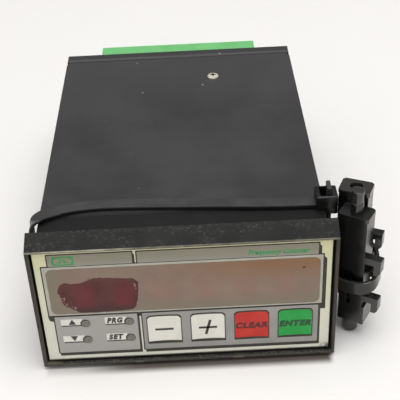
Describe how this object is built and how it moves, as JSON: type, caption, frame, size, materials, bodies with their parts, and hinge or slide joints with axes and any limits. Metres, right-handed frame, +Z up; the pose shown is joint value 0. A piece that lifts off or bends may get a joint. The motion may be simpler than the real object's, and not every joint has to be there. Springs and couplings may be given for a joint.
{
  "type": "panel-mount frequency counter",
  "caption": "Panel-mount frequency counter: bezel with display window, lamps and keys, closed box case, rows of plug-in screw terminals, and screw-jack panel clamps tied to its side.",
  "frame": {"origin": "centre of the panel cut-out, in the plane of the panel's front face, which is the bezel's rear face", "axes": "+X to the right seen from the front, +Y into the panel along the case, +Z up"},
  "size_m": [0.1123, 0.1464, 0.0555],
  "materials": {
    "bezel_plastic": "matte",
    "gasket_rubber": "matte",
    "case_plastic": "satin, fine-grained",
    "foil_print": "satin printed film",
    "membrane_film": "satin film",
    "key_white": "satin printed film",
    "key_red": "satin printed film",
    "key_green": "satin printed film",
    "bright_steel": "bright plated",
    "carrier_sheet": "mill finish",
    "red_filter": "clear tinted sheet",
    "digit_plastic": "matte",
    "lamp_plastic": "clear moulded",
    "circuit_board": "satin lacquer",
    "chip_plastic": "moulded",
    "pin_brass": "plated",
    "core_steel": "varnished laminations",
    "coil_tape": "insulating tape over wire",
    "capacitor_sleeve": "shrink sleeve",
    "relay_case": "moulded",
    "terminal_green": "moulded",
    "clamp_nylon": "moulded nylon",
    "tie_nylon": "moulded nylon"
  },
  "bodies": {
    "case": {"bezel_frame": "bezel_plastic", "panel_gasket": "gasket_rubber", "housing_shell": "case_plastic", "rear_cap": "case_plastic", "front_foil": "foil_print", "membrane_layer": "membrane_film", "key_domes": "bright_steel", "foil_carrier": "carrier_sheet", "display_filter": "red_filter", "digit_1": "digit_plastic", "digit_2": "digit_plastic", "digit_3": "digit_plastic", "digit_4": "digit_plastic", "digit_5": "digit_plastic", "digit_6": "digit_plastic", "display_board": "circuit_board", "status_lamps": "lamp_plastic", "keypad_tail": "membrane_film", "tail_connector": "lamp_plastic", "board_connector": "chip_plastic", "lower_board": "circuit_board", "upper_board": "circuit_board", "board_pillars": "pin_brass", "transformer_core": "core_steel", "transformer_coil": "coil_tape", "filter_capacitors": "capacitor_sleeve", "relay_1": "relay_case", "relay_2": "relay_case", "counter_chip": "chip_plastic", "logic_chips": "chip_plastic", "reference_crystal": "bright_steel", "voltage_regulator": "chip_plastic", "heat_sink": "carrier_sheet", "top_screw": "bright_steel", "header_upper": "terminal_green", "header_lower": "terminal_green", "header_pins_upper": "pin_brass", "header_pins_lower": "pin_brass", "front_clamp": "clamp_nylon", "rear_clamp": "clamp_nylon", "housing_tie": "tie_nylon", "bundle_tie": "tie_nylon"},
    "key_minus": {"key_minus": "key_white"},
    "key_plus": {"key_plus": "key_white"},
    "key_clear": {"key_clear": "key_red"},
    "key_enter": {"key_enter": "key_green"},
    "plug_upper": {"plug_upper": "terminal_green", "plug_screws_upper": "bright_steel", "wire_cages_upper": "bright_steel"},
    "plug_lower": {"plug_lower": "terminal_green", "plug_screws_lower": "bright_steel", "wire_cages_lower": "bright_steel"},
    "front_clamp_pad": {"front_clamp_pad": "clamp_nylon"},
    "front_clamp_spindle": {"front_clamp_spindle": "clamp_nylon"},
    "rear_clamp_pad": {"rear_clamp_pad": "clamp_nylon"},
    "rear_clamp_spindle": {"rear_clamp_spindle": "clamp_nylon"}
  },
  "joints": [
    {"name": "key_minus_press", "type": "slide", "parent": "case", "child": "key_minus", "axis": [0, 1, 0], "range_m": [0, 0.0003], "stiffness_N_per_m": 300},
    {"name": "key_plus_press", "type": "slide", "parent": "case", "child": "key_plus", "axis": [0, 1, 0], "range_m": [0, 0.0003], "stiffness_N_per_m": 300},
    {"name": "key_clear_press", "type": "slide", "parent": "case", "child": "key_clear", "axis": [0, 1, 0], "range_m": [0, 0.0003], "stiffness_N_per_m": 300},
    {"name": "key_enter_press", "type": "slide", "parent": "case", "child": "key_enter", "axis": [0, 1, 0], "range_m": [0, 0.0003], "stiffness_N_per_m": 300},
    {"name": "plug_upper_pull", "type": "slide", "parent": "case", "child": "plug_upper", "axis": [0, 1, 0], "range_m": [0, 0.014]},
    {"name": "plug_lower_pull", "type": "slide", "parent": "case", "child": "plug_lower", "axis": [0, 1, 0], "range_m": [0, 0.014]},
    {"name": "front_pad_slide", "type": "slide", "parent": "case", "child": "front_clamp_pad", "axis": [0, 0, 1], "range_m": [-0.009, 0.01]},
    {"name": "front_spindle_turn", "type": "hinge", "parent": "front_clamp_pad", "child": "front_clamp_spindle", "pos_m": [0.0543, 0.00335, 0], "axis": [0, 0, 1], "range_deg": [-3242, 3602]},
    {"name": "rear_pad_slide", "type": "slide", "parent": "case", "child": "rear_clamp_pad", "axis": [0, 0, 1], "range_m": [0, 0.019]},
    {"name": "rear_spindle_turn", "type": "hinge", "parent": "rear_clamp_pad", "child": "rear_clamp_spindle", "pos_m": [0.0552, 0.0114, 0], "axis": [0, 0, 1], "range_deg": [0, 6842]}
  ],
  "couplings": [
    {"joint": "front_spindle_turn", "follows": "front_pad_slide", "rad_per_m": 6283.2},
    {"joint": "rear_spindle_turn", "follows": "rear_pad_slide", "rad_per_m": 6283.2}
  ]
}
